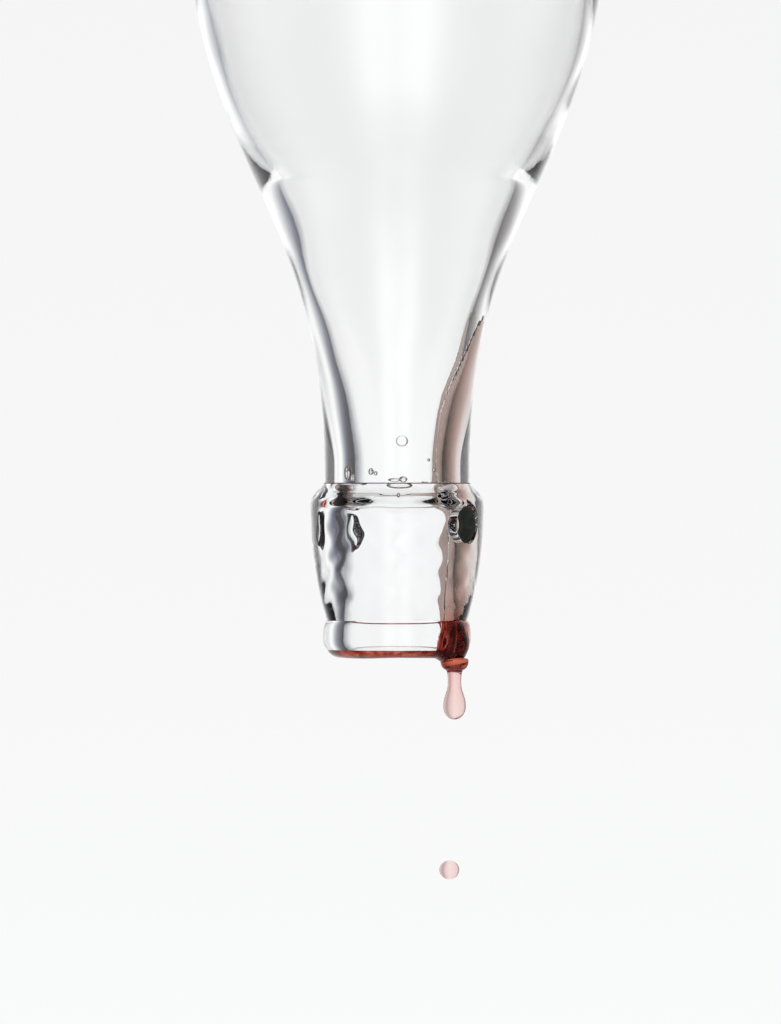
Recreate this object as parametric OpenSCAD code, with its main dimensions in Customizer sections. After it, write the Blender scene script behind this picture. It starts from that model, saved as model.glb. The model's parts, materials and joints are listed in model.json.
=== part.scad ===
// Clear glass bottle with a swing-top finish, held neck down and dripping.
//
// The bottle is drawn mouth down with the lowest ring of its lip at height 0, then lowered so that the
// origin lies on the axis in the middle of the straight body, where a hand or a clamp holds it.
// The finish is an applied one: a tapered collar of glass is laid on the end of the neck, and a round
// bead on the end of the collar. The wire closure that would hook into the collar is not fitted.

/* [Bottle] */
// Height from the lip to the standing ring
bottle_h = 300; // [285:1:315]
// Outer diameter of the straight body
body_d = 78; // [76:0.5:80]
// Wall thickness of the straight body
body_wall = 3; // [2.6:0.1:3.4]
// Outer diameter of the neck where it meets the collar
neck_d = 26.4; // [26:0.1:27]
// Diameter of the bore through the neck
bore_d = 15.4; // [15.2:0.1:15.6]

/* [Base] */
// Radius of the rounded heel
heel_r = 7; // [5:0.5:9]
// Thickness of glass over the standing ring
base_t = 7; // [6:0.5:8]
// Radius of the hollow under the base
punt_r = 26; // [22:0.5:28]
// Depth of the hollow under the base
punt_h = 13; // [8:0.5:18]

/* [Collar] */
// Widest diameter of the applied collar
collar_d = 31.6; // [31.2:0.1:32]
// Height of the seam between neck and collar
seam_z = 31.5; // [31:0.1:32]
// Height of the crease between collar and lip bead
crease_z = 6.5; // [6.2:0.1:6.8]
// Diameter at the crease
crease_d = 25.5; // [25.2:0.1:25.8]
// Diameter of the mouth, wide enough for the closure's stopper
mouth_d = 19.6; // [19.4:0.1:19.8]
// Diameter of each of the two wire sockets
socket_d = 6.6; // [6:0.1:7]
// Depth of each socket from the collar's widest radius
socket_depth = 4; // [3.6:0.1:4.4]
// Width of the flat ring that the tool pressed round each socket's mouth
socket_rim = 0.6; // [0.4:0.05:0.7]
// Height of the sockets above the lip
socket_z = 23.9; // [23.5:0.1:24.3]
// Direction of the front socket, counted from +X
socket_angle = -34; // [-42:1:-26]

/* [Lip bead] */
// Widest diameter of the bead
bead_d = 26.9; // [26.6:0.1:27.2]
// Radius of the bead's outer rounding
bead_round = 3.2; // [3.1:0.05:3.3]

/* [Liquid] */
// Thickness of the liquid clinging under the lip
film_t = 0.45; // [0.35:0.05:0.6]
// Thickness of the rivulet inside, thin enough to leave the bore free for a stopper
rivulet_t = 0.2; // [0.15:0.01:0.22]
// Height up to which the rivulet wets the inner wall
rivulet_top = 68; // [60:1:75]
// Width of the rivulet, as an angle about the bottle's axis
rivulet_angle = 56; // [40:2:70]
// Widest diameter of the hanging drop
drop_d = 4.12; // [3.8:0.02:4.4]
// Length of the hanging drop below the lip
drop_len = 11.4; // [11:0.1:12]
// Diameter of the free drop
free_drop_d = 3.64; // [3.2:0.02:4]
// Depth of the free drop's centre below the lip
free_drop_depth = 38.6; // [36:0.1:42]

/* [Hidden] */
$fn = 96;

body_r = body_d / 2;
cavity_r = body_r - body_wall;
neck_r = neck_d / 2;
bore_r = bore_d / 2;
mouth_r = mouth_d / 2;
collar_r = collar_d / 2;
crease_r = crease_d / 2;
bead_r = bead_d / 2;
socket_r = socket_d / 2;

// Height of the origin above the lip: the middle of the straight body
grip_z = 220;

// Shoulder curve outside: leaves the neck at neck_end, is pulled by two handles and meets the body
neck_end = 33;
neck_pull = 85;
body_pull = 87;
body_start = 146;
shoulder_steps = 32;
// Shoulder curve inside: flares early out of the thick neck, turns at the knee and rounds into the body
bore_end = 35;
bore_pull = 44;
knee = [22.6, 87.2];
knee_direction = [0.7, 1];
knee_lower_pull = knee - 5.6 * knee_direction;
knee_upper_pull = knee + 16.4 * knee_direction;
cavity_pull = 130;
cavity_start = 140;
flare_steps = 22;

// Inner and outer edge of the ring that the bottle stands on when it is the right way up
ring_outer_r = body_r - heel_r;
inner_heel_r = 9;
dome_steps = 10;
corner_steps = 8;

// Collar side: a convex taper from the crease to the widest ring, then a chamfer up to the seam
collar_widest_z = 26.4;
collar_chamfer_z = 28.6;
collar_chamfer_in = 0.25;
collar_steps = 12;
// Depth of the pressed ring below the collar's widest radius
socket_rim_depth = 0.6;
// The mouth keeps its width up to mouth_top, then narrows to the neck's bore at throat_z
mouth_top = 26;
throat_z = 30;
throat_steps = 8;

// Lip bead: the outer and the inner rounding share one lowest circle
bead_low_r = bead_r - bead_round;
mouth_round = bead_low_r - mouth_r;
arc_step = 5;

// Film under the lip, from the outer side of the bead to the inner side, as angles round the bead
film_from = -35;
film_to = -140;
// The rivulet starts on the mouth's rounding, just clear of the film
rivulet_from = -150;
rivulet_feather = 8;

// Hanging drop: direction round the lip, distance from the axis, and the radii of its root and thread
drop_angle = -28.2;
drop_out = 11.8;
root_r = 2.65;
root_end_r = 1.95;
root_len = 2.2;
root_top = 0.6;
thread_top_r = 1.4;
thread_top = 2.6;
thread_r = 1.23;
thread_end = 4.9;
bulb_mid = 8.9;
drop_steps = 8;
drop_clearance = 0.02;
// How far the drop keeps from the mouth's wall
mouth_gap = 0.3;

// The free drop has drifted a little out of line with the hanging one
free_drop_pos = [9.45, -6.6, -free_drop_depth];

glass_colour = [0.86, 0.91, 0.93, 0.4];
liquid_colour = [0.72, 0.12, 0.1, 0.75];
drop_colour = [0.93, 0.55, 0.52, 0.75];

// Point at t along the cubic curve with ends a and d and handles b and c
function curve_point(a, b, c, d, t) =
    pow(1 - t, 3) * a + 3 * pow(1 - t, 2) * t * b + 3 * (1 - t) * t * t * c + pow(t, 3) * d;

// Points of that curve after its first point
function curve(a, b, c, d, steps) = [for (i = [1 : steps]) curve_point(a, b, c, d, i / steps)];

// Points of an arc about centre from one angle to another
function arc(centre, r, from, to, steps) =
    [for (i = [0 : steps]) let (a = from + (to - from) * i / steps) centre + r * [cos(a), sin(a)]];

function reversed(points) = [for (i = [len(points) - 1 : -1 : 0]) points[i]];

// Inside of the neck and shoulder, from the bore up to the body
shoulder_inside = concat(
    [[bore_r, bore_end]],
    curve([bore_r, bore_end], [bore_r, bore_pull], knee_lower_pull, knee, flare_steps),
    curve(knee, knee_upper_pull, [cavity_r, cavity_pull], [cavity_r, cavity_start], flare_steps)
);

// Inside of the collar, from the mouth up through the throat to the seam
collar_inside = concat(
    [[mouth_r, mouth_top]],
    curve([mouth_r, mouth_top], [mouth_r, 28], [bore_r, 28], [bore_r, throat_z], throat_steps),
    [[bore_r, seam_z]]
);

// Outside of the neck and shoulder, from the neck up to the body
shoulder_outside = concat(
    [[neck_r, neck_end]],
    curve([neck_r, neck_end], [neck_r, neck_pull], [body_r, body_pull], [body_r, body_start], shoulder_steps)
);

// Point on the bead's underside at angle a, from -90 at the lowest circle; grow moves it off the glass
function lip_point(a, grow = 0) =
    let (round_r = a > -90 ? bead_round : mouth_round)
    [bead_low_r, round_r] + (round_r + grow) * [cos(a), sin(a)];

// Sets a piece drawn from the lip upwards in the bottle's frame
module from_lip() {
    translate([0, 0, -grip_z])
        children();
}

// Dome of radius r and height h hanging down from height z, as points from the rim to the axis
function dome(r, h, z) =
    let (sphere_r = (r * r + h * h) / (2 * h))
    let (rim_angle = asin(r / sphere_r))
    [for (i = [0 : dome_steps])
        let (a = rim_angle * (1 - i / dome_steps))
        [sphere_r * sin(a), z - h + sphere_r * (1 - cos(a))]];

module bottle_body() {
    floor_z = bottle_h - base_t;
    outside = concat(
        [[neck_r, seam_z]],
        shoulder_outside,
        arc([ring_outer_r, bottle_h - heel_r], heel_r, 0, 90, corner_steps),
        dome(punt_r, punt_h, bottle_h)
    );
    inside = concat(
        [[bore_r, seam_z]],
        shoulder_inside,
        arc([cavity_r - inner_heel_r, floor_z - inner_heel_r], inner_heel_r, 0, 90, corner_steps),
        dome(punt_r, punt_h, floor_z)
    );
    color(glass_colour)
        from_lip()
            rotate_extrude()
                polygon(concat(outside, reversed(inside)));
}

// One blind socket for the end of the wire closure, pointing along +X
module bail_socket() {
    translate([collar_r - socket_depth, 0, socket_z])
        rotate([0, 90, 0]) {
            cylinder(r = socket_r, h = 2 * socket_depth);
            translate([0, 0, socket_depth - socket_rim_depth])
                cylinder(r = socket_r + socket_rim, h = socket_depth);
        }
}

module applied_collar() {
    outline = concat(
        [[mouth_r, crease_z], [crease_r, crease_z]],
        curve([crease_r, crease_z], [14.6, 12.5], [15.6, 19], [collar_r, collar_widest_z], collar_steps),
        [[collar_r - collar_chamfer_in, collar_chamfer_z], [neck_r, seam_z]],
        reversed(collar_inside)
    );
    color(glass_colour)
        from_lip()
            difference() {
                rotate_extrude()
                    polygon(outline);
                for (side = [0, 180])
                    rotate([0, 0, socket_angle + side])
                        bail_socket();
            }
}

module lip_bead_solid() {
    rotate_extrude()
        polygon(concat(
            [[mouth_r, crease_z], [crease_r, crease_z]],
            curve([crease_r, crease_z], [13.4, 5.9], [bead_r, 4.6], [bead_r, bead_round], 5),
            [for (a = [-arc_step : -arc_step : -90]) lip_point(a)],
            [for (a = [-90 - arc_step : -arc_step : -180]) lip_point(a)]
        ));
}

module lip_bead() {
    color(glass_colour)
        from_lip()
            lip_bead_solid();
}

// Film of liquid running down the inner wall on the right, feathered to nothing at its top
module wall_rivulet() {
    wall = concat(
        [for (a = [rivulet_from : -arc_step : -180]) lip_point(a)],
        collar_inside,
        [for (p = shoulder_inside) if (p[1] < rivulet_top) p]
    );
    face = [for (p = wall)
        let (up = min(1, (rivulet_top - p[1]) / rivulet_feather))
        let (down = min(1, (p[1] - wall[0][1]) / rivulet_t))
        [p[0] - rivulet_t * min(up, down), p[1]]];
    color(liquid_colour)
        from_lip()
            rotate([0, 0, -rivulet_angle / 2])
                rotate_extrude(angle = rivulet_angle)
                    polygon(concat(wall, reversed([for (i = [1 : len(face) - 1]) face[i]])));
}

// Outline of the hanging drop as radius and depth, from its root to its tip
module pendant_outline() {
    drop_r = drop_d / 2;
    root_up = bead_round;
    polygon(concat(
        [[0, root_up], [root_r, root_up], [root_r, -0.4]],
        curve([root_r, -0.4], [root_r, -1.3], [2.4, -1.8], [root_end_r, -root_len], drop_steps),
        [[thread_top_r, -thread_top]],
        curve([thread_top_r, -thread_top], [thread_r, -3.2],
            [thread_r, -4], [thread_r, -thread_end], drop_steps),
        curve([thread_r, -thread_end], [thread_r, -6.6], [drop_r, -7.2], [drop_r, -bulb_mid], drop_steps),
        curve([drop_r, -bulb_mid], [drop_r, -10.3], [1.15, -drop_len], [0, -drop_len], drop_steps)
    ));
}

module at_drop() {
    rotate([0, 0, drop_angle])
        translate([drop_out, 0, 0])
            children();
}

module pendant_drop() {
    color(liquid_colour)
        from_lip()
            difference() {
                at_drop()
                    rotate_extrude()
                        pendant_outline();
                lip_bead_solid();
                // Everything above the level where the root meets the glass
                translate([0, 0, root_top])
                    cylinder(r = body_r, h = bead_round);
                // The mouth stays free
                translate([0, 0, -thread_top])
                    cylinder(r = mouth_r + mouth_gap, h = thread_top + bead_round);
            }
}

// Film that clings under the lip, thickest at the lowest circle, cut away where the drop hangs
module lip_film() {
    angles = [for (a = [film_from : -arc_step : film_to]) a];
    last = len(angles) - 1;
    skin = [for (i = [last - 1 : -1 : 1]) lip_point(angles[i], film_t * sin(180 * i / last))];
    color(liquid_colour)
        from_lip()
            difference() {
                rotate_extrude()
                    polygon(concat([for (a = angles) lip_point(a)], skin));
                at_drop()
                    translate([0, 0, -bead_round])
                        cylinder(r = root_r + drop_clearance, h = 2 * bead_round);
            }
}

module falling_drop() {
    color(drop_colour)
        from_lip()
            translate(free_drop_pos)
                sphere(d = free_drop_d);
}

bottle_body();
applied_collar();
lip_bead();
wall_rivulet();
lip_film();
pendant_drop();
falling_drop();
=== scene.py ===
"""Clear glass bottle held neck down, dripping red liquid, on a plain pale stage."""

import math

import bpy
import numpy as np
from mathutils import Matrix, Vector
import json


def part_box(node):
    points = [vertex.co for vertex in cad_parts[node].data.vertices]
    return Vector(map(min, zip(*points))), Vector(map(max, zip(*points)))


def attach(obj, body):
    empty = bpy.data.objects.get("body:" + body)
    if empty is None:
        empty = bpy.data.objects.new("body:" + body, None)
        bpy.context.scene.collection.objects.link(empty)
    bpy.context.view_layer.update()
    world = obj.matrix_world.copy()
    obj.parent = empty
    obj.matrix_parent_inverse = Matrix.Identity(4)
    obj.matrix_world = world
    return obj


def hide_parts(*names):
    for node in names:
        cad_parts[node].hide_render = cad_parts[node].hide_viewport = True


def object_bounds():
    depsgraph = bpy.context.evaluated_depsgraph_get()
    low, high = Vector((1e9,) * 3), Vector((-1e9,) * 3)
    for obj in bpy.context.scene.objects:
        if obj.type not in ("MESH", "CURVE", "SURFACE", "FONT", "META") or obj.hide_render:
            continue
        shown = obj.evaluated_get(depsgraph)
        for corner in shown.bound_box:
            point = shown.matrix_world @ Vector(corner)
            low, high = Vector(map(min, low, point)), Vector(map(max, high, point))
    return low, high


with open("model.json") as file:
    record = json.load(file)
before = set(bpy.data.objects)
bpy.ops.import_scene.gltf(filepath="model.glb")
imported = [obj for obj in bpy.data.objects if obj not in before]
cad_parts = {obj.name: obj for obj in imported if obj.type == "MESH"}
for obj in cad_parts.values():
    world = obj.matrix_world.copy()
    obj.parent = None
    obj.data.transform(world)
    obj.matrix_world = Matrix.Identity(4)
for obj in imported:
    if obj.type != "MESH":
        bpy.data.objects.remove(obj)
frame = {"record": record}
cad_low, cad_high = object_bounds()

# ---------------------------------------------------------------- sizes, in millimetres above the lip

MM = 0.001


def box_mm(node):
    """Lowest and highest corner of a CAD node in millimetres."""
    low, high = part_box(node)
    return np.array(low) / MM, np.array(high) / MM


mounts = {m["name"]: m for m in frame["record"]["mounts"]}
bead_low, bead_high = box_mm("lip_bead")
body_low, body_high = box_mm("bottle_body")
collar_high = box_mm("applied_collar")[1]
pendant_low = box_mm("pendant_drop")[0]
free_low, free_high = box_mm("falling_drop")

LIP_Z = bead_low[2]
CREASE = bead_high[2] - LIP_Z
SEAM = body_low[2] - LIP_Z
HEIGHT = body_high[2] - LIP_Z
BODY_R = body_high[0]
COLLAR_R = collar_high[0]
BEAD_R = bead_high[0]
MOUTH_R = mounts["mouth_bore"]["dims"]["r_mm"]
BORE_R = mounts["neck_bore"]["dims"]["r_mm"]
SOCKET_R = mounts["bail_socket_front"]["dims"]["r_mm"]
SOCKET_AXIS = Vector(mounts["bail_socket_front"]["axis"])
SOCKET_Z = mounts["bail_socket_front"]["pos_m"][2] / MM - LIP_Z

# The glass outline, as in the CAD source
NECK_R = 13.2
CREASE_R = 12.75
WALL = 3.0
CAVITY_R = BODY_R - WALL
HEEL_R = 7.0
INNER_HEEL_R = 9.0
BASE_T = 7.0
PUNT_R = 26.0
PUNT_H = 13.0
BEAD_ROUND = 3.2
BEAD_LOW_R = BEAD_R - BEAD_ROUND
MOUTH_ROUND = BEAD_LOW_R - MOUTH_R
MOUTH_TOP = 26.0
THROAT_PULL = 28.0
THROAT = 30.0
SOCKET_DEPTH = 4.0
# Shoulder outside: from the neck up to the body, with the heights of the curve's two handles
NECK_END = 33.0
NECK_PULL = 85.0
BODY_PULL = 87.0
BODY_START = 146.0
# Shoulder inside: flares out of the bore, turns at the knee and rounds into the body
BORE_END = 35.0
BORE_PULL = 44.0
KNEE = np.array([22.6, 87.2])
KNEE_DIRECTION = np.array([0.7, 1.0])
KNEE_LOWER_PULL = KNEE - 5.6 * KNEE_DIRECTION
KNEE_UPPER_PULL = KNEE + 16.4 * KNEE_DIRECTION
CAVITY_PULL = 130.0
CAVITY_START = 140.0
# Collar outside: widest ring, and where its chamfer ends under the seam, as (radius, height)
WIDEST_Z = 26.4
CHAMFER_END = (14.9, 29.7)

# Points round the axis
COLUMNS = 288


def hermite(x):
    """Smooth step from 0 to 1."""
    x = np.clip(x, 0.0, 1.0)
    return x * x * (3 - 2 * x)


# ---------------------------------------------------------------- the glass skin


def bezier(a, b, c, d, steps):
    """Points of a cubic curve after its first point."""
    t = np.linspace(0, 1, steps + 1)[1:, None]
    a, b, c, d = (np.array(p, float) for p in (a, b, c, d))
    return (1 - t) ** 3 * a + 3 * (1 - t) ** 2 * t * b + 3 * (1 - t) * t**2 * c + t**3 * d


def arc(centre, radius, start, end, steps):
    """Points of an arc, angles in degrees, after its first point."""
    a = np.radians(np.linspace(start, end, steps + 1)[1:])
    return np.array(centre) + radius * np.stack([np.cos(a), np.sin(a)], 1)


def line(a, b, steps):
    """Points of a straight stretch after its first point."""
    t = np.linspace(0, 1, steps + 1)[1:, None]
    return np.array(a, float) * (1 - t) + np.array(b, float) * t


def dome(height, steps, from_axis):
    """Push-up under the base, hanging down from height, from its rim to the axis or back."""
    sphere_r = (PUNT_R**2 + PUNT_H**2) / (2 * PUNT_H)
    rim = math.degrees(math.asin(PUNT_R / sphere_r))
    centre = (0, height - PUNT_H + sphere_r)
    ends = (-90.0, -90.0 + rim) if from_axis else (-90.0 + rim, -90.0)
    return arc(centre, sphere_r, *ends, steps)


def glass_outline():
    """The glass surface as (radius, height): down the inside, round the lip and up the outside.

    It starts and ends on the axis. Returns the points and the rows where neck, collar and bead meet,
    inside and outside.
    """
    floor = HEIGHT - BASE_T
    points = [np.array([[0.0, floor - PUNT_H]])]

    def add(part):
        points.append(part)
        return sum(len(p) for p in points) - 1

    add(dome(floor, 14, True))
    add(line((PUNT_R, floor), (CAVITY_R - INNER_HEEL_R, floor), 1))
    add(arc((CAVITY_R - INNER_HEEL_R, floor - INNER_HEEL_R), INNER_HEEL_R, 90, 0, 10))
    add(line((CAVITY_R, floor - INNER_HEEL_R), (CAVITY_R, CAVITY_START), 28))
    add(bezier((CAVITY_R, CAVITY_START), (CAVITY_R, CAVITY_PULL), KNEE_UPPER_PULL, KNEE, 60))
    add(bezier(KNEE, KNEE_LOWER_PULL, (BORE_R, BORE_PULL), (BORE_R, BORE_END), 70))
    seam_in = add(line((BORE_R, BORE_END), (BORE_R, SEAM), 5))
    add(line((BORE_R, SEAM), (BORE_R, THROAT), 3))
    add(bezier((BORE_R, THROAT), (BORE_R, THROAT_PULL), (MOUTH_R, THROAT_PULL), (MOUTH_R, MOUTH_TOP), 16))
    crease_in = add(line((MOUTH_R, MOUTH_TOP), (MOUTH_R, CREASE), 50))
    add(line((MOUTH_R, CREASE), (MOUTH_R, MOUTH_ROUND), 16))
    add(arc((BEAD_LOW_R, MOUTH_ROUND), MOUTH_ROUND, 180, 270, 10))
    add(arc((BEAD_LOW_R, BEAD_ROUND), BEAD_ROUND, -90, 0, 32))
    crease_out = add(bezier((BEAD_R, BEAD_ROUND), (BEAD_R, 4.9), (13.3, 6.2), (CREASE_R, CREASE), 12))
    add(bezier((CREASE_R, CREASE), (14.6, 12.5), (15.6, 19), (COLLAR_R, WIDEST_Z), 70))
    add(bezier((COLLAR_R, WIDEST_Z), (COLLAR_R, 28.2), (COLLAR_R - 0.1, 28.6), CHAMFER_END, 16))
    seam_out = add(line(CHAMFER_END, (NECK_R, SEAM), 10))
    add(line((NECK_R, SEAM), (NECK_R, NECK_END), 4))
    add(bezier((NECK_R, NECK_END), (NECK_R, NECK_PULL), (BODY_R, BODY_PULL), (BODY_R, BODY_START), 120))
    add(line((BODY_R, BODY_START), (BODY_R, HEIGHT - HEEL_R), 30))
    add(arc((BODY_R - HEEL_R, HEIGHT - HEEL_R), HEEL_R, 0, 90, 12))
    add(line((BODY_R - HEEL_R, HEIGHT), (PUNT_R, HEIGHT), 2))
    last = add(dome(HEIGHT, 14, False))
    outline = np.concatenate(points)
    outline[last] = (0.0, HEIGHT - PUNT_H)
    return outline, seam_in, crease_in, crease_out, seam_out


OUTLINE, SEAM_IN, CREASE_IN, CREASE_OUT, SEAM_OUT = glass_outline()
ROWS = len(OUTLINE)
LOWEST_ROW = int(np.argmin(OUTLINE[:, 1]))
ANGLES = np.arange(COLUMNS) * 2 * math.pi / COLUMNS


def outline_normals():
    """Direction out of the glass at each row, as (radial, vertical)."""
    tangent = np.gradient(OUTLINE, axis=0)
    tangent /= np.linalg.norm(tangent, axis=1)[:, None]
    return np.stack([tangent[:, 1], -tangent[:, 0]], 1)


NORMALS = outline_normals()


def waves(z, angle, terms):
    """Sum of gentle ripples, each (height, lobes round the axis, length along it, phase)."""
    total = 0
    for height, lobes, length, phase in terms:
        along = np.cos(2 * math.pi * z / length + 1.7 * phase)
        total = total + height * np.sin(lobes * angle + phase) * along
    return total


# The sum of the body's ripples, taken off its radius so that they stay inside the true circle
SOFT_LIMIT = 0.12


def hand_made(rows_z, angle, inside):
    """How far the surface stands off its true circle: soft in the body, lumpy in the tooled bore."""
    z = rows_z[:, None]
    a = angle[None, :]
    if not inside:
        soft = waves(z, a, [(0.06, 2, 140, 0.4), (0.04, 3, 60, 2.1), (0.02, 5, 33, 1.0)])
        return (soft - SOFT_LIMIT) * hermite((z - SEAM - 2) / 30)
    tooled = [(0.10, 3, 11.0, 0.3), (0.05, 7, 6.2, 1.9), (0.03, 11, 4.7, 4.0), (0.12, 2, 23, 5.1)]
    bore = waves(z, a, tooled)
    in_collar = hermite((z - 7) / 4) * hermite((SEAM - z) / 2)
    blown = waves(z, a, [(0.10, 2, 47, 2.2), (0.09, 3, 29, 0.7), (0.05, 5, 17, 3.3)])
    in_shoulder = hermite((z - SEAM - 4) / 20) * hermite((HEIGHT - 30 - z) / 60)
    return bore * in_collar + blown * in_shoulder


def skin_points():
    """Every point of the glass surface, in metres, as an array of rows by columns by 3."""
    radius = np.repeat(OUTLINE[:, :1], COLUMNS, 1)
    height = np.repeat(OUTLINE[:, 1:], COLUMNS, 1)
    inside = np.arange(ROWS) <= CREASE_IN
    radius[inside] += hand_made(OUTLINE[inside, 1], ANGLES, True)
    outside = np.arange(ROWS) >= SEAM_OUT
    radius[outside] += hand_made(OUTLINE[outside, 1], ANGLES, False)
    radius[[0, -1]] = 0
    x = radius * np.cos(ANGLES)
    y = radius * np.sin(ANGLES)
    return np.stack([x, y, height + LIP_Z], 2) * MM


SKIN = skin_points()

# ---------------------------------------------------------------- where the glass is wet

# Where the hanging drop's axis stands, as in the CAD source
DROP_ANGLE = math.radians(-28.2)
DROP_OUT = 11.8
DROP_AXIS = DROP_OUT * np.array([math.cos(DROP_ANGLE), math.sin(DROP_ANGLE)])
# Thickness of the film under the lip, of the rivulet, and of the pool at the hanging drop's root
FILM_T = 0.34
RIVULET_T = 0.13
ROOT_T = 1.5
ROOT_REACH = 4.6
THINNEST = 0.012
# The rivulet: its upper end, its middle and its half width round the bore in degrees
RIVULET_TOP = 68.0
RIVULET_MIDDLE = -8.0
RIVULET_HALF = 33.0


def film_thickness():
    """Thickness of liquid over every point of the skin, in millimetres."""
    rows = np.arange(ROWS)
    z = OUTLINE[:, 1:]
    turn = np.degrees((ANGLES + math.pi) % (2 * math.pi) - math.pi)[None, :]
    inner = (rows <= LOWEST_ROW)[:, None]

    middle = RIVULET_MIDDLE + 2.0 * np.sin(z / 9.0) + 1.0 * np.sin(z / 4.1 + 1.0)
    tongue = 0.25 + 0.75 * hermite((RIVULET_TOP - z) / 26)
    half = (RIVULET_HALF + 3.0 * hermite((30 - z) / 30) + 1.5 * np.sin(z / 5.3)) * tongue
    across = np.clip(1 - ((turn - middle) / half) ** 2, 0, 1) ** 1.4
    along = hermite((RIVULET_TOP - z) / 22) ** 1.5
    rivulet = RIVULET_T * across * along * inner * (z < RIVULET_TOP)

    under = np.degrees(np.arctan2(NORMALS[:, 0], -NORMALS[:, 1]))[:, None]
    at_lip = ((rows > CREASE_IN) & (rows < CREASE_OUT))[:, None]
    ring = np.clip(1 - ((under - 4) / 46) ** 2, 0, 1)
    uneven = 0.8 + 0.2 * np.sin(2 * np.radians(turn) + 0.8) + 0.12 * np.sin(5 * np.radians(turn))
    lip = FILM_T * ring * uneven * at_lip

    x = OUTLINE[:, :1] * np.cos(ANGLES)[None, :] - DROP_AXIS[0]
    y = OUTLINE[:, :1] * np.sin(ANGLES)[None, :] - DROP_AXIS[1]
    distance = np.hypot(np.hypot(x, y), 0.55 * z)
    root = ROOT_T * np.clip(1 - (distance / ROOT_REACH) ** 2, 0, 1) ** 2 * at_lip
    total = np.maximum(rivulet, lip) + root
    return np.where(total < THINNEST, 0.0, total)


FILM = film_thickness()


def wet_cells():
    """True for each cell of the skin that has liquid on it."""
    wet = FILM > 0
    right = np.roll(wet, -1, 1)
    cells = np.zeros((ROWS - 1, COLUMNS), bool)
    cells[:] = wet[:-1] | wet[1:] | right[:-1] | right[1:]
    return cells


WET = wet_cells()

# ---------------------------------------------------------------- mesh helpers


def new_mesh(name, points, faces, kinds, materials):
    """A mesh object from points and faces; kinds gives each face's material."""
    data = bpy.data.meshes.new(name)
    data.from_pydata([tuple(p) for p in points], [], faces)
    for material in materials:
        data.materials.append(material)
    data.polygons.foreach_set("material_index", kinds)
    data.polygons.foreach_set("use_smooth", [True] * len(faces))
    data.update()
    obj = bpy.data.objects.new(name, data)
    bpy.context.scene.collection.objects.link(obj)
    return obj


def keep_edges_sharp(obj, degrees):
    """Smooth shading, except across edges sharper than this."""
    obj.data.set_sharp_from_angle(angle=math.radians(degrees))


def lathe(profile, centre, columns):
    """Closed body of revolution about a vertical axis, from a profile that runs from top to bottom."""
    turn = np.arange(columns) * 2 * math.pi / columns
    profile = np.asarray(profile, float)
    ring = profile[1:-1]
    points = [(centre[0], centre[1], profile[0][1])]
    for r, z in ring:
        points += [(centre[0] + r * math.cos(a), centre[1] + r * math.sin(a), z) for a in turn]
    points.append((centre[0], centre[1], profile[-1][1]))
    faces = []
    for j in range(columns):
        k = (j + 1) % columns
        faces.append((0, 1 + j, 1 + k))
        for i in range(len(ring) - 1):
            a, b = 1 + i * columns, 1 + (i + 1) * columns
            faces.append((a + j, b + j, b + k, a + k))
        low = 1 + (len(ring) - 1) * columns
        faces.append((low + j, len(points) - 1, low + k))
    return np.array(points), faces


def bubble(centre, radii, columns=24, rings=12):
    """Air bubble: an ellipsoid whose faces look inwards, because the glass or liquid is outside it."""
    a = np.linspace(90, -90, rings + 1)
    profile = np.stack([np.cos(np.radians(a)), np.sin(np.radians(a))], 1)
    points, faces = lathe(profile, (0, 0), columns)
    return points * np.array(radii) + np.array(centre), [tuple(reversed(f)) for f in faces]


def on_bottle(angle, radius, height):
    """Place given by its angle from +X in degrees, its radius and its height above the lip."""
    a = math.radians(angle)
    return (radius * math.cos(a), radius * math.sin(a), height + LIP_Z)


# ---------------------------------------------------------------- materials


def node_tree(name):
    """A new material with an empty node tree."""
    material = bpy.data.materials.new(name)
    material.use_nodes = True
    tree = material.node_tree
    tree.nodes.clear()
    return material, tree


def noise(tree, scale, detail, coordinate="Object"):
    """Noise texture on the object's own coordinates; scale is in features per metre."""
    place = tree.nodes.new("ShaderNodeTexCoord")
    texture = tree.nodes.new("ShaderNodeTexNoise")
    texture.inputs["Scale"].default_value = scale
    texture.inputs["Detail"].default_value = detail
    tree.links.new(place.outputs[coordinate], texture.inputs["Vector"])
    return texture.outputs["Fac"]


def ramp(tree, factor, stops):
    """Colour ramp over factor; stops are (position, (r, g, b))."""
    node = tree.nodes.new("ShaderNodeValToRGB")
    elements = node.color_ramp.elements
    while len(elements) > 1:
        elements.remove(elements[-1])
    elements[0].position, elements[0].color = stops[0][0], (*stops[0][1], 1)
    for position, colour in stops[1:]:
        elements.new(position).color = (*colour, 1)
    tree.links.new(factor, node.inputs["Fac"])
    return node.outputs["Color"]


def remap(tree, value, low, high, to_low, to_high):
    """A value moved from one range to another, held within it."""
    node = tree.nodes.new("ShaderNodeMapRange")
    for name, number in (("From Min", low), ("From Max", high), ("To Min", to_low), ("To Max", to_high)):
        node.inputs[name].default_value = number
    tree.links.new(value, node.inputs["Value"])
    return node.outputs["Result"]


def math_node(tree, operation, a, b=None):
    """One sum on sockets or numbers."""
    node = tree.nodes.new("ShaderNodeMath")
    node.operation = operation
    for socket, value in zip(node.inputs, (a, b)):
        if value is None:
            continue
        if isinstance(value, (int, float)):
            socket.default_value = value
        else:
            tree.links.new(value, socket)
    return node.outputs[0]


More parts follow.
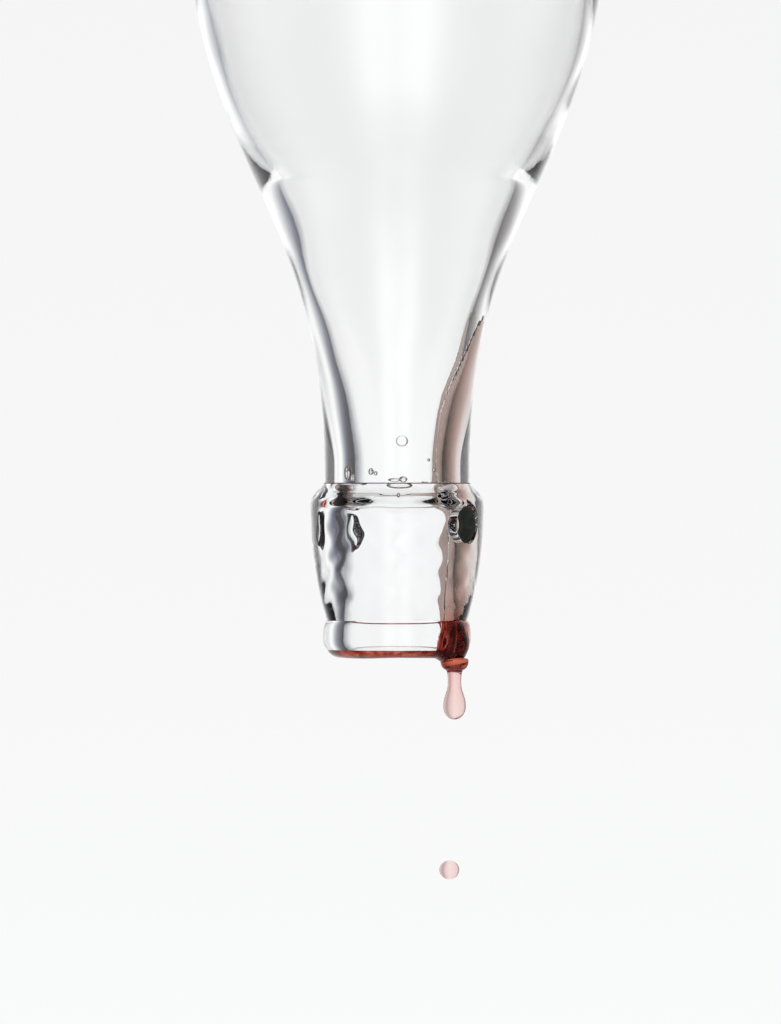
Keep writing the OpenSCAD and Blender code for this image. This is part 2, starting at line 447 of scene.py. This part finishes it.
def mix_colours(tree, factor, a, b, blend="MIX"):
    """Colour a where factor is 0, and a blended with b where it is 1."""
    node = tree.nodes.new("ShaderNodeMix")
    node.data_type = "RGBA"
    node.blend_type = blend
    for name, kind, value in (("Factor", "VALUE", factor), ("A", "RGBA", a), ("B", "RGBA", b)):
        socket = [s for s in node.inputs if s.name == name and s.type == kind][0]
        if isinstance(value, (int, float, tuple)):
            socket.default_value = value
        else:
            tree.links.new(value, socket)
    return [s for s in node.outputs if s.type == "RGBA"][0]


def relief(tree, height, strength, distance):
    """Normal of a surface with this height texture; distance is its depth in metres."""
    node = tree.nodes.new("ShaderNodeBump")
    node.inputs["Strength"].default_value = strength
    node.inputs["Distance"].default_value = distance
    tree.links.new(height, node.inputs["Height"])
    return node.outputs["Normal"]


def clear_shader(tree, index, roughness=0.0):
    """A fully transmitting surface with this refractive index."""
    shader = tree.nodes.new("ShaderNodeBsdfPrincipled")
    shader.inputs["Transmission Weight"].default_value = 1.0
    shader.inputs["IOR"].default_value = index
    shader.inputs["Roughness"].default_value = roughness
    output = tree.nodes.new("ShaderNodeOutputMaterial")
    tree.links.new(shader.outputs["BSDF"], output.inputs["Surface"])
    return shader


def glass_material(name, tint_a, tint_b, relief_scale, relief_depth):
    """Clear soda glass: faint tint that drifts, and the shallow waves that fire polishing leaves."""
    material, tree = node_tree(name)
    shader = clear_shader(tree, 1.5)
    drift = noise(tree, 25, 2)
    tree.links.new(ramp(tree, drift, [(0.3, tint_a), (0.7, tint_b)]), shader.inputs["Base Color"])
    waves_height = noise(tree, relief_scale, 3)
    tree.links.new(relief(tree, waves_height, 1.0, relief_depth), shader.inputs["Normal"])
    return material


def through_material(name, tint_a, tint_b, scale):
    """A face that light crosses without bending, such as glass fused to glass or wetted by the liquid."""
    material, tree = node_tree(name)
    shader = tree.nodes.new("ShaderNodeBsdfTransparent")
    drift = noise(tree, scale, 3)
    tree.links.new(ramp(tree, drift, [(0.35, tint_a), (0.65, tint_b)]), shader.inputs["Color"])
    output = tree.nodes.new("ShaderNodeOutputMaterial")
    tree.links.new(shader.outputs["BSDF"], output.inputs["Surface"])
    return material


def liquid_material(name, stops):
    """Red liquid whose depth of colour follows the height; stops are as in by_height."""
    material, tree = node_tree(name)
    shader = clear_shader(tree, 1.345, 0.03)
    tree.links.new(by_height(tree, stops), shader.inputs["Base Color"])
    tree.links.new(relief(tree, noise(tree, 700, 2), 1.0, 0.00001), shader.inputs["Normal"])
    return material


def by_height(tree, stops):
    """Colour ramp over the height; stops are (height above the lip in mm, colour)."""
    place = tree.nodes.new("ShaderNodeTexCoord")
    axes = tree.nodes.new("ShaderNodeSeparateXYZ")
    tree.links.new(place.outputs["Object"], axes.inputs["Vector"])
    low, high = stops[0][0], stops[-1][0]
    level = remap(tree, axes.outputs["Z"], (LIP_Z + low) * MM, (LIP_Z + high) * MM, 0, 1)
    return ramp(tree, level, [((z - low) / (high - low), colour) for z, colour in stops])


def wetted_material():
    """Glass under liquid: light crosses it without bending and takes the liquid's colour."""
    material, tree = node_tree("wetted_glass")
    shader = tree.nodes.new("ShaderNodeBsdfTransparent")
    clean = (16, (0.985, 0.97, 0.965))
    pale_stops = [(0, (0.92, 0.62, 0.58)), (5, (0.90, 0.62, 0.55)), (9, (0.97, 0.90, 0.88)), clean]
    deep_stops = [(0, (0.60, 0.16, 0.13)), (5, (0.66, 0.28, 0.22)), (9, (0.95, 0.87, 0.84)), clean]
    pale = by_height(tree, pale_stops)
    deep = by_height(tree, deep_stops)
    patches = ramp(tree, noise(tree, 420, 3), [(0.42, (0, 0, 0)), (0.56, (1, 1, 1))])
    tree.links.new(mix_colours(tree, patches, pale, deep), shader.inputs["Color"])
    output = tree.nodes.new("ShaderNodeOutputMaterial")
    tree.links.new(shader.outputs["BSDF"], output.inputs["Surface"])
    return material


def dark_material(name, dark, light, scale, roughness):
    """Opaque dark surface in two tones: the seam's residue, and the painted shade inside the sockets."""
    material, tree = node_tree(name)
    shader = tree.nodes.new("ShaderNodeBsdfPrincipled")
    shader.inputs["Roughness"].default_value = roughness
    tones = ramp(tree, noise(tree, scale, 3), [(0.35, dark), (0.7, light)])
    tree.links.new(tones, shader.inputs["Base Color"])
    output = tree.nodes.new("ShaderNodeOutputMaterial")
    tree.links.new(shader.outputs["BSDF"], output.inputs["Surface"])
    return material


CLEAR = glass_material("clear_glass", (0.97, 0.975, 0.975), (0.985, 0.985, 0.985), 90, 0.00002)
FINISH = glass_material("finish_glass", (0.955, 0.965, 0.968), (0.98, 0.983, 0.983), 210, 0.00002)
FUSED = through_material("fused_glass", (0.985, 0.99, 0.99), (1, 1, 1), 300)
WETTED = wetted_material()
RESIDUE = dark_material("seam_residue", (0.05, 0.015, 0.015), (0.12, 0.05, 0.045), 900, 0.5)
# Painted shade: a near-black opaque sheet for the dark inside of the sockets, which is shade from the
# glass walls and not a stain
SOCKET_PAINTED_SHADE = dark_material("socket_painted_shade", (0.018, 0.026, 0.020), (0.045, 0.055, 0.045), 500, 0.55)
RED = liquid_material(
    "red_liquid",
    [
        (-11.4, (0.96, 0.76, 0.72)),
        (-5.0, (0.96, 0.70, 0.66)),
        (-2.9, (0.93, 0.66, 0.62)),
        (-2.3, (0.45, 0.10, 0.10)),
        (-1.6, (0.32, 0.05, 0.06)),
        (-0.9, (0.66, 0.16, 0.07)),
        (0.6, (0.50, 0.09, 0.05)),
        (6.0, (0.92, 0.70, 0.66)),
        (12.0, (0.975, 0.965, 0.96)),
        (70.0, (0.985, 0.98, 0.98)),
    ],
)
PINK = liquid_material("thin_red_liquid", [(-41, (0.97, 0.74, 0.72)), (-36, (0.98, 0.82, 0.80))])

# ---------------------------------------------------------------- glass pieces


def skin_shell(runs, kinds_of):
    """Closed shell out of rows of the skin. runs are (first row, last row) in the outline's order."""
    points, faces, kinds, first = [], [], [], {}
    for start, end in runs:
        for row in range(start, end + 1):
            first[row] = len(points)
            pole = OUTLINE[row, 0] == 0
            points += [tuple(SKIN[row, 0])] if pole else [tuple(p) for p in SKIN[row]]
    order = [row for start, end in runs for row in range(start, end + 1)]
    closed = OUTLINE[order[0], 0] != 0
    pairs = list(zip(order, order[1:] + order[:1] if closed else order[1:]))
    for row, below in pairs:
        joint = below != row + 1
        for j in range(COLUMNS):
            k = (j + 1) % COLUMNS
            a, b = first[row], first[below]
            if OUTLINE[row, 0] == 0:
                face = (a, b + k, b + j)
            elif OUTLINE[below, 0] == 0:
                face = (a + k, b, a + j)
            else:
                face = (a + k, b + k, b + j, a + j)
            faces.append(face)
            kinds.append(1 if joint else kinds_of(row, j))
    return points, faces, kinds


def surface_of(row, column):
    """Which of a glass piece's materials a cell has: 2 under liquid, 3 in the seam's groove, else 0."""
    if row == SEAM_OUT - 1:
        return 3
    return 2 if WET[row, column] else 0


def glass_piece(name, runs, surface, bubbles, node):
    """One piece of glass out of rows of the skin, with its air bubbles, in place of one CAD node."""
    points, faces, kinds = skin_shell(runs, surface_of)
    for centre, radii in bubbles:
        more, more_faces = bubble(centre, radii)
        start = len(points)
        points += [tuple(p * MM) for p in more]
        faces += [tuple(i + start for i in face) for face in more_faces]
        kinds += [0] * len(more_faces)
    obj = new_mesh(name, points, faces, kinds, [surface, FUSED, WETTED, RESIDUE])
    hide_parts(node)
    return obj


def seam_bubbles():
    """Air trapped where the collar was laid on the neck: most of it in front, close under the surface."""
    found = [
        (on_bottle(-88, 12.1, SEAM - 0.9), (2.3, 0.5, 0.8)),
        (on_bottle(-92, 12.3, SEAM + 0.5), (1.2, 0.35, 0.35)),
        (on_bottle(-85, 12.2, SEAM + 0.6), (0.75, 0.3, 0.55)),
        (on_bottle(-89, 12.0, SEAM - 2.9), (0.3, 0.3, 0.35)),
        (on_bottle(-112, 12.2, SEAM + 2.0), (0.5, 0.3, 0.6)),
        (on_bottle(-108, 12.2, SEAM + 1.7), (0.35, 0.3, 0.4)),
        (on_bottle(-136, 11.8, SEAM + 1.8), (0.8, 0.8, 1.3)),
        (on_bottle(-131, 11.6, SEAM + 0.9), (0.6, 0.6, 0.6)),
    ]
    for i in range(9):
        angle = -68 + 4.2 * i + 1.1 * math.sin(5 * i)
        size = 0.16 + 0.09 * abs(math.sin(2.3 * i + 1))
        found.append((on_bottle(angle, 12.4, SEAM + 0.15 * math.sin(3 * i)), (size * 1.4, size, size)))
    return found


def neck_bubbles():
    """Three small bubbles in the front wall of the neck."""
    return [
        (on_bottle(-86, 12.3, 39.0), (1.05, 0.2, 1.0)),
        (on_bottle(-63, 12.2, 35.6), (0.28, 0.25, 0.3)),
        (on_bottle(-58, 12.2, 33.8), (0.4, 0.3, 0.4)),
    ]


def is_painted_shade(corners, across, mouth, floor):
    """Painted shade: a dark opaque sheet covers the far half of a socket's side wall, in place of the
    shade that the socket's glass walls show.
    """
    middle = Vector(np.mean(corners, 0))
    return floor < middle.z < mouth and middle.dot(across) > 0


def socket_cutter(direction):
    """The round blind socket for a wire's end: straight sides and a softly rounded mouth."""
    floor = COLLAR_R - SOCKET_DEPTH
    mouth = COLLAR_R - 0.9
    mouth_round = 0.75
    floor_round = 0.8
    beyond = COLLAR_R + 2
    profile = [(0, beyond), (SOCKET_R + 2 * mouth_round, beyond), (SOCKET_R + mouth_round, COLLAR_R + 0.1)]
    profile += list(arc((SOCKET_R + mouth_round, mouth), mouth_round, 90, 180, 8)[1:])
    profile += list(line((SOCKET_R, mouth), (SOCKET_R, floor + floor_round), 6))
    profile += list(arc((SOCKET_R - floor_round, floor + floor_round), floor_round, 0, -90, 8))
    profile += [(SOCKET_R * 0.4, floor - 0.05), (0, floor - 0.1)]
    points, faces = lathe(profile, (0, 0), 96)
    turn = direction.to_track_quat("Z", "Y").to_matrix()
    across = turn.inverted() @ Vector((-direction.y, direction.x, 0))
    # Painted shade goes on the far half of the side wall
    kinds = [int(is_painted_shade([points[i] for i in face], across, mouth, floor)) for face in faces]
    placed = [np.array(turn @ Vector(p)) + np.array([0, 0, SOCKET_Z + LIP_Z]) for p in points]
    return new_mesh("cutter", np.array(placed) * MM, faces, kinds, [FINISH, SOCKET_PAINTED_SHADE])


def apply_boolean(obj, other, operation):
    """Cut other out of obj or join it on, for good."""
    modifier = obj.modifiers.new("cut", "BOOLEAN")
    modifier.operation = operation
    modifier.solver = "EXACT"
    modifier.material_mode = "TRANSFER"
    modifier.object = other
    graph = bpy.context.evaluated_depsgraph_get()
    data = bpy.data.meshes.new_from_object(obj.evaluated_get(graph))
    obj.modifiers.clear()
    old = obj.data
    obj.data = data
    bpy.data.meshes.remove(old)
    bpy.data.objects.remove(other)


def make_glass():
    """The bottle's body, the collar with its two sockets, and the bead."""
    body_rows = [(0, SEAM_IN), (SEAM_OUT, ROWS - 1)]
    collar_rows = [(SEAM_IN, CREASE_IN), (CREASE_OUT, SEAM_OUT)]
    bead_rows = [(CREASE_IN, CREASE_OUT)]
    body = glass_piece(
        "bottle_body_glass", body_rows, CLEAR, neck_bubbles(), "bottle_body"
    )
    collar = glass_piece(
        "applied_collar_glass", collar_rows, FINISH, seam_bubbles(), "applied_collar"
    )
    for direction in (SOCKET_AXIS, -SOCKET_AXIS):
        apply_boolean(collar, socket_cutter(direction), "DIFFERENCE")
    bead = glass_piece("lip_bead_glass", bead_rows, FINISH, [], "lip_bead")
    for obj in (body, collar, bead):
        keep_edges_sharp(obj, 28)
        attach(obj, "bottle")


# ---------------------------------------------------------------- liquid pieces


def border_parts(lifted):
    """How a cell of four corners is split so that no part of it lies flat on the glass."""
    if all(lifted):
        return [(0, 1, 2, 3)]
    alone = sum(lifted) == 1 and (lifted[0] or lifted[2])
    halves = [(0, 1, 3), (1, 2, 3)] if alone else [(0, 1, 2), (0, 2, 3)]
    return [half for half in halves if any(lifted[i] for i in half)]


def film_shell(rows):
    """Closed sheet of liquid on the skin: one side is the glass, the other stands off by the film."""
    lifted = SKIN.copy()
    radial = np.stack([np.cos(ANGLES), np.sin(ANGLES)], 1)
    lifted[:, :, :2] += (NORMALS[:, :1] * FILM)[:, :, None] * radial[None] * MM
    lifted[:, :, 2] += NORMALS[:, 1:] * FILM * MM
    points, faces, kinds, index = [], [], [], {}

    def vertex(row, column, side):
        key = (row, column, side if FILM[row, column] > 0 and rows[0] < row < rows[1] else 0)
        if key not in index:
            index[key] = len(points)
            points.append(tuple((lifted if key[2] else SKIN)[row, column]))
        return index[key]

    for row in range(rows[0], rows[1]):
        for j in range(COLUMNS):
            k = (j + 1) % COLUMNS
            corners = [(row, j), (row, k), (row + 1, k), (row + 1, j)]
            lifted_corners = [FILM[c] > 0 and rows[0] < c[0] < rows[1] for c in corners]
            for part in border_parts(lifted_corners):
                faces.append([vertex(*corners[i], 1) for i in part])
                faces.append([vertex(*corners[i], 0) for i in reversed(part)])
                kinds += [0, 1]
    return points, faces, kinds


def pendant_profile():
    """Hanging drop, from inside its root down to its tip."""
    tip = pendant_low[2] - LIP_Z
    bulb_r = 2.06
    parts = [np.array([[0.0, -0.2], [1.2, -0.2], [2.2, -0.3], [2.5, -0.5]])]
    parts.append(bezier((2.5, -0.5), (2.62, -0.9), (2.55, -1.7), (2.0, -2.2), 10))
    parts.append(bezier((2.0, -2.2), (1.75, -2.4), (1.5, -2.4), (1.42, -2.7), 6))
    parts.append(bezier((1.42, -2.7), (1.24, -3.2), (1.2, -4.0), (1.23, -4.9), 10))
    parts.append(bezier((1.23, -4.9), (1.25, -6.5), (bulb_r, -7.1), (bulb_r, -9.0), 18))
    parts.append(bezier((bulb_r, -9.0), (bulb_r, -10.4), (1.15, tip), (0, tip), 18))
    profile = np.concatenate(parts)
    profile[:, 1] += LIP_Z
    return profile


def make_lip_liquid():
    """Film under the lip and the drop that hangs from it: one body of liquid."""
    points, faces, kinds = film_shell((CREASE_IN, CREASE_OUT))
    film = new_mesh("lip_liquid", points, faces, kinds, [RED, WETTED])
    drop_points, drop_faces = lathe(pendant_profile(), DROP_AXIS, 72)
    drop = new_mesh("drop_part", drop_points * MM, drop_faces, [0] * len(drop_faces), [RED])
    apply_boolean(film, drop, "UNION")
    keep_edges_sharp(film, 50)
    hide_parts("lip_film", "pendant_drop")
    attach(film, "bottle")


def make_rivulet():
    """The liquid that runs down the inner wall, from the shoulder to the bead."""
    points, faces, kinds = film_shell((0, CREASE_IN))
    film = new_mesh("wall_rivulet_liquid", points, faces, kinds, [RED, WETTED])
    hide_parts("wall_rivulet")
    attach(film, "bottle")


def make_free_drop():
    """The drop that has let go, still wobbling: a little flat, with a slow ripple over it."""
    centre = (free_low + free_high) / 2
    radius = (free_high[0] - free_low[0]) / 2
    a = np.radians(np.linspace(90, -90, 49))
    wobble = 1 - 0.012 * (3 * np.sin(a) ** 2 - 1) - 0.02
    profile = np.stack([radius * wobble * np.cos(a), centre[2] + radius * wobble * np.sin(a)], 1)
    points, faces = lathe(profile, centre[:2], 96)
    drop = new_mesh("falling_drop_liquid", points * MM, faces, [0] * len(faces), [PINK])
    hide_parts("falling_drop")
    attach(drop, "drop")


# ---------------------------------------------------------------- stage, light and camera

# Height of the framed picture at the bottle's axis, and where its middle lies
FRAME_HEIGHT = 186.2
FRAME_X = -1.2
FRAME_Z = 26.2
LENS = 300.0
SENSOR = 36.0
# In metres
FLOOR_DEPTH = 0.25
FLOOR_R = 2.7


def make_camera():
    """Level view from the front, framing the neck, the lip and the drops."""
    data = bpy.data.cameras.new("camera")
    data.lens = LENS
    data.sensor_width = SENSOR
    distance = FRAME_HEIGHT / SENSOR * LENS
    data.clip_end = 20
    camera = bpy.data.objects.new("camera", data)
    camera.location = Vector((FRAME_X, -distance, LIP_Z + FRAME_Z)) * MM
    camera.rotation_euler = (math.radians(90), 0, 0)
    bpy.context.scene.collection.objects.link(camera)
    bpy.context.scene.camera = camera


def by_angle(tree, angle, stops):
    """Colour ramp over an angle in radians; stops are (degrees, colour)."""
    around = remap(tree, angle, -math.pi / 2, math.pi / 2, 0, 1)
    return ramp(tree, around, [((degrees + 90) / 180, colour) for degrees, colour in stops])


# What stands round the bottle, by the angle from straight behind it: a lit panel with dark sides
DRY_SURROUND = [
    (-90, (0.10, 0.10, 0.12)),
    (-62, (0.08, 0.075, 0.08)),
    (-55, (0.10, 0.095, 0.11)),
    (-48, (0.145, 0.15, 0.185)),
    (-41, (0.24, 0.25, 0.30)),
    (-34, (0.48, 0.49, 0.52)),
    (-28, (0.74, 0.75, 0.77)),
    (-20, (1.14, 1.14, 1.14)),
    (-8, (1.12, 1.12, 1.12)),
    (0, (1.0, 1.0, 1.0)),
    (8, (1.12, 1.12, 1.12)),
    (20, (1.14, 1.14, 1.14)),
    (28, (0.70, 0.70, 0.70)),
    (34, (0.44, 0.43, 0.43)),
    (41, (0.27, 0.26, 0.26)),
    (48, (0.16, 0.15, 0.15)),
    (62, (0.09, 0.08, 0.08)),
    (90, (0.10, 0.10, 0.10)),
]
# The same for light that has crossed a wetted face or one where glass is fused to glass
WET_SURROUND = [
    (-90, (0.40, 0.38, 0.38)),
    (-30, (0.90, 0.89, 0.88)),
    (-12, (0.86, 0.84, 0.83)),
    (0, (0.78, 0.69, 0.65)),
    (10, (0.56, 0.43, 0.40)),
    (22, (0.38, 0.27, 0.24)),
    (32, (0.24, 0.165, 0.14)),
    (41, (0.13, 0.095, 0.08)),
    (48, (0.075, 0.06, 0.052)),
    (58, (0.055, 0.05, 0.047)),
    (90, (0.07, 0.065, 0.06)),
]
# The same for light that comes off the liquid's own surface
DROP_SURROUND = [
    (-90, (0.06, 0.04, 0.045)),
    (-60, (0.12, 0.08, 0.085)),
    (-46, (0.34, 0.28, 0.29)),
    (-36, (0.86, 0.82, 0.82)),
    (0, (0.96, 0.95, 0.95)),
    (14, (0.80, 0.76, 0.77)),
    (24, (0.52, 0.48, 0.50)),
    (34, (0.62, 0.59, 0.60)),
    (44, (0.86, 0.84, 0.85)),
    (56, (0.40, 0.36, 0.37)),
    (90, (0.14, 0.12, 0.13)),
]
# Light by its height above the level of the bottle's mouth
LEVELS = [
    (-90, (0.50, 0.50, 0.48)),
    (-60, (0.22, 0.21, 0.18)),
    (-44, (0.40, 0.39, 0.35)),
    (-36, (1.0, 1.0, 1.0)),
    (36, (1.0, 1.0, 1.0)),
    (44, (0.60, 0.61, 0.64)),
    (60, (0.26, 0.26, 0.25)),
    (90, (0.50, 0.50, 0.50)),
]


def make_world():
    """Bright-field light: a lit panel behind with dark sides, which draw the glass's bands and edges.

    The surround depends on the light's way: through dry glass alone, past a wetted or fused face, or
    last off liquid, whose surface is a little rough. The camera sees a plain backdrop, and the floor
    gets even light.
    """
    world = bpy.data.worlds.new("studio")
    bpy.context.scene.world = world
    world.use_nodes = True
    world.cycles.sampling_method = "NONE"
    tree = world.node_tree
    tree.nodes.clear()
    place = tree.nodes.new("ShaderNodeTexCoord")
    axes = tree.nodes.new("ShaderNodeSeparateXYZ")
    tree.links.new(place.outputs["Generated"], axes.inputs["Vector"])
    x, y, z = (axes.outputs[i] for i in range(3))
    azimuth = math_node(tree, "ARCTAN2", x, math_node(tree, "ABSOLUTE", y))
    elevation = math_node(tree, "ARCSINE", z)
    path = tree.nodes.new("ShaderNodeLightPath")
    past_wet_face = math_node(tree, "GREATER_THAN", path.outputs["Transparent Depth"], 0.5)
    off_smooth_glass = path.outputs["Is Singular Ray"]

    dry = by_angle(tree, azimuth, DRY_SURROUND)
    through_glass = mix_colours(tree, past_wet_face, dry, by_angle(tree, azimuth, WET_SURROUND))
    level = by_angle(tree, elevation, LEVELS)
    levelled = mix_colours(tree, 1.0, through_glass, level, "MULTIPLY")
    seen = mix_colours(tree, off_smooth_glass, by_angle(tree, azimuth, DROP_SURROUND), levelled)
    lit = mix_colours(tree, path.outputs["Is Diffuse Ray"], seen, (0.95, 0.95, 0.95, 1.0))

    around_glass = tree.nodes.new("ShaderNodeBackground")
    tree.links.new(lit, around_glass.inputs["Color"])
    backdrop = tree.nodes.new("ShaderNodeBackground")
    fade = remap(tree, z, -0.06, 0.06, 0, 1)
    shades = [(0.0, (0.955, 0.958, 0.962)), (0.3, (0.94, 0.94, 0.94)), (1.0, (0.913, 0.913, 0.913))]
    tree.links.new(ramp(tree, fade, shades), backdrop.inputs["Color"])
    mix = tree.nodes.new("ShaderNodeMixShader")
    tree.links.new(path.outputs["Is Camera Ray"], mix.inputs[0])
    tree.links.new(around_glass.outputs[0], mix.inputs[1])
    tree.links.new(backdrop.outputs[0], mix.inputs[2])
    output = tree.nodes.new("ShaderNodeOutputWorld")
    tree.links.new(mix.outputs[0], output.inputs["Surface"])


def make_floor():
    """Plain pale floor well below the drops, fading out at its rim."""
    material, tree = node_tree("floor")
    place = tree.nodes.new("ShaderNodeTexCoord")
    length = tree.nodes.new("ShaderNodeVectorMath")
    length.operation = "LENGTH"
    tree.links.new(place.outputs["Object"], length.inputs[0])
    fade = remap(tree, length.outputs["Value"], 0.5, 2.6, 1, 0)
    diffuse = tree.nodes.new("ShaderNodeBsdfDiffuse")
    diffuse.inputs["Color"].default_value = (0.93, 0.93, 0.93, 1)
    clear = tree.nodes.new("ShaderNodeBsdfTransparent")
    mix = tree.nodes.new("ShaderNodeMixShader")
    tree.links.new(fade, mix.inputs[0])
    tree.links.new(clear.outputs[0], mix.inputs[1])
    tree.links.new(diffuse.outputs[0], mix.inputs[2])
    output = tree.nodes.new("ShaderNodeOutputMaterial")
    tree.links.new(mix.outputs[0], output.inputs["Surface"])
    turn = np.arange(64) * 2 * math.pi / 64
    points = [(FLOOR_R * math.cos(a), FLOOR_R * math.sin(a), 0) for a in turn]
    floor = new_mesh("floor", points, [tuple(range(64))], [0], [material])
    floor.location.z = cad_low.z - FLOOR_DEPTH
    # The glass shows the even surround instead of the floor
    floor.visible_transmission = False
    floor.visible_glossy = False


def set_render_look():
    """Plain colours, and enough bounces for light to cross every wall and film."""
    scene = bpy.context.scene
    scene.view_settings.view_transform = "Standard"
    scene.view_settings.look = "None"
    cycles = scene.cycles
    cycles.max_bounces = 32
    cycles.transmission_bounces = 32
    cycles.glossy_bounces = 16
    cycles.transparent_max_bounces = 32
    cycles.blur_glossy = 0.0


make_camera()
make_world()
make_floor()
set_render_look()
make_glass()
make_lip_liquid()
make_rivulet()
make_free_drop()
